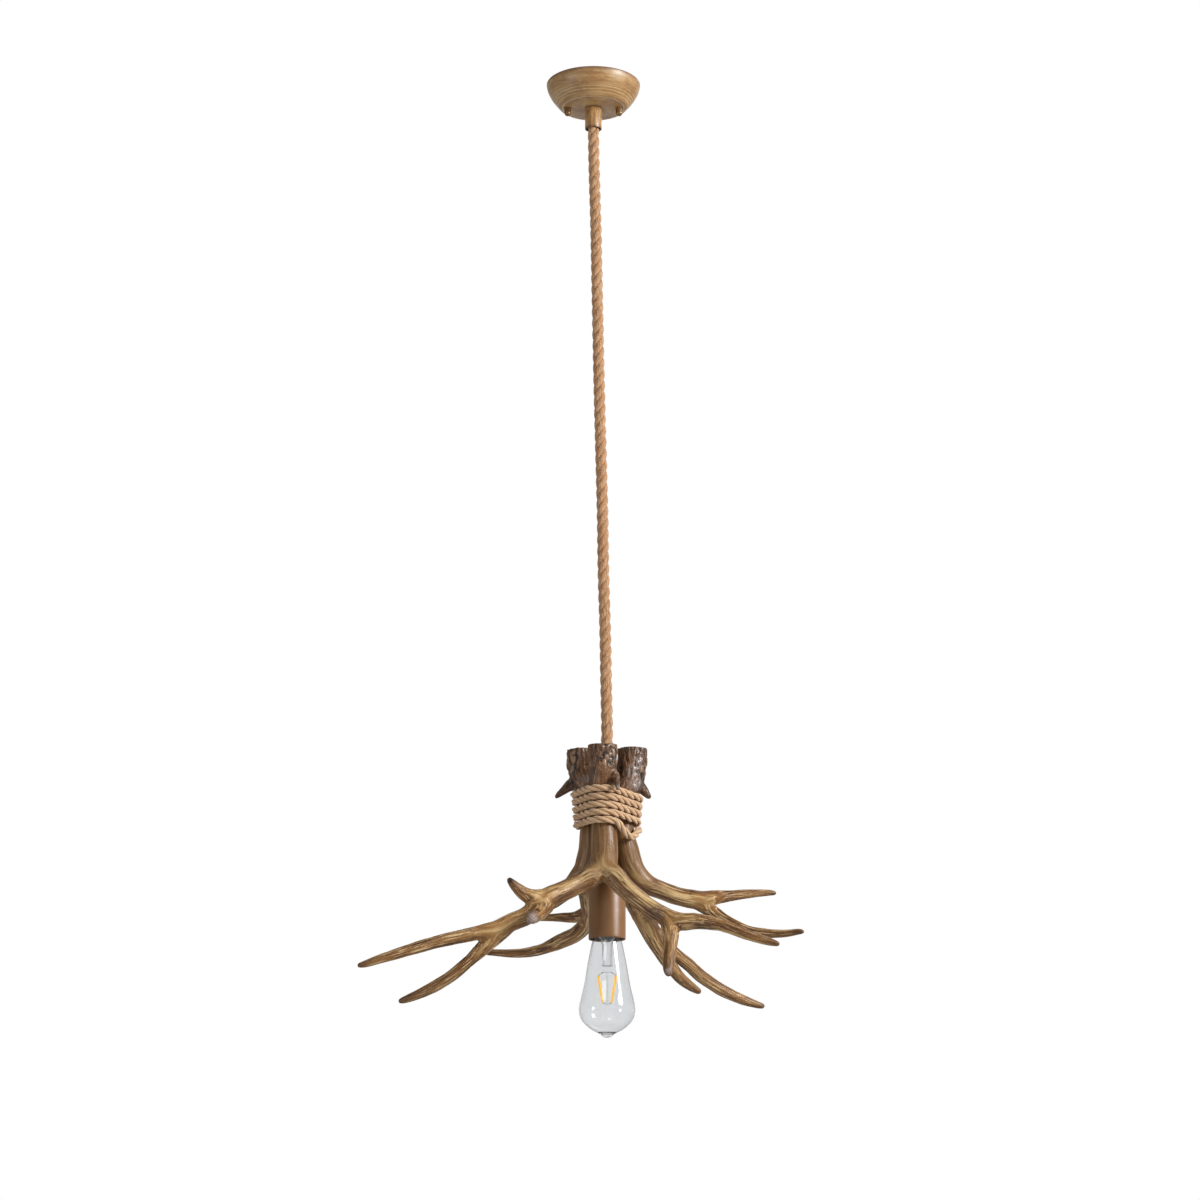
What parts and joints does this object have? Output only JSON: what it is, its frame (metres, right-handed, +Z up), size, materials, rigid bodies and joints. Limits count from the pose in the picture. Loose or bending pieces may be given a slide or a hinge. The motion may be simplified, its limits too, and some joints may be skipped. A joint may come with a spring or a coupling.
{
  "type": "pendant light",
  "caption": "Hanging lamp: turned ceiling canopy, thick twisted rope, and antlers bound with rope that fan out round a long clear bulb.",
  "frame": {"origin": "centre of the canopy's rim in the plane of the ceiling, midway between the bar's two ceiling slots", "axes": "+Z up into the ceiling, -Y towards the picture's viewer, +X to the viewer's right"},
  "size_m": [0.495, 0.2982, 1.1499],
  "materials": {
    "steel": "zinc plated, lightly brushed",
    "canopy_finish": "tan and brown brushed paint in turned streaks, satin",
    "aged_bronze": "brown with worn edges",
    "jute": "rough twisted plant fibre",
    "cable_sheath": "off-white flexible sheath",
    "white_plastic": "matt white moulding",
    "brass": "bright drawn",
    "brown_lead": "brown insulation",
    "blue_lead": "blue insulation",
    "green_lead": "green and yellow insulation",
    "antler": "brown with cream streaks along the limbs, dark glossy tops",
    "cover_finish": "satin brown",
    "ceramic": "pale grey-green, smooth",
    "bulb_metal": "rolled, bright",
    "black_glass": "glossy black",
    "clear_glass": "clear, thin",
    "filament": "warm yellow phosphor",
    "board": "green circuit board"
  },
  "bodies": {
    "canopy": {"mounting_bar": "steel", "canopy_studs": "steel", "stud_locknuts": "steel", "canopy": "canopy_finish", "cap_nuts": "aged_bronze", "stem_tube": "canopy_finish", "stem_washer": "steel", "stem_locknut": "steel", "rope_clamp": "steel", "clamp_screw": "steel", "rope_top_stretch": "jute", "cable_top_stretch": "cable_sheath", "terminal_block": "white_plastic", "terminal_barrels": "brass", "terminal_screws": "steel", "block_screw": "steel", "earth_screw": "steel", "earth_lug": "brass", "live_lead": "brown_lead", "neutral_lead": "blue_lead", "earth_lead": "green_lead"},
    "rope_neck": {"rope_neck": "jute"},
    "rope": {"rope_hanging": "jute", "core_cable": "cable_sheath", "rope_ferrule": "steel"},
    "lamp": {"hub_tube": "steel", "antler_front": "antler", "antler_right": "antler", "antler_left": "antler", "antler_screws": "steel", "rope_binding": "jute", "cover_nut": "steel", "cover_washer": "steel", "socket_cover": "cover_finish", "socket_insulator": "ceramic", "screw_shell": "brass", "socket_contact": "brass", "socket_screws": "steel", "socket_live_lead": "brown_lead", "socket_neutral_lead": "blue_lead"},
    "bulb": {"bulb_cap": "bulb_metal", "bulb_cap_insulator": "black_glass", "bulb_contact": "bulb_metal", "bulb_glass": "clear_glass", "bulb_stem": "clear_glass", "bulb_wires": "steel", "bulb_filaments": "filament", "bulb_driver": "board"}
  },
  "joints": [
    {"name": "sway_side", "type": "hinge", "parent": "canopy", "child": "rope_neck", "pos_m": [0, 0, -0.052], "axis": [0, 1, 0], "range_deg": [-9, 9]},
    {"name": "sway_fore", "type": "hinge", "parent": "rope_neck", "child": "rope", "pos_m": [0, 0, -0.052], "axis": [1, 0, 0], "range_deg": [-9, 9]},
    {"name": "lamp_turn", "type": "hinge", "parent": "rope", "child": "lamp", "pos_m": [0.016, 0, -0.84], "axis": [0, 0, 1], "range_deg": [-90, 90]},
    {"name": "bulb_out", "type": "slide", "parent": "lamp", "child": "bulb", "axis": [0, 0, -1], "range_m": [0, 0.03]}
  ]
}
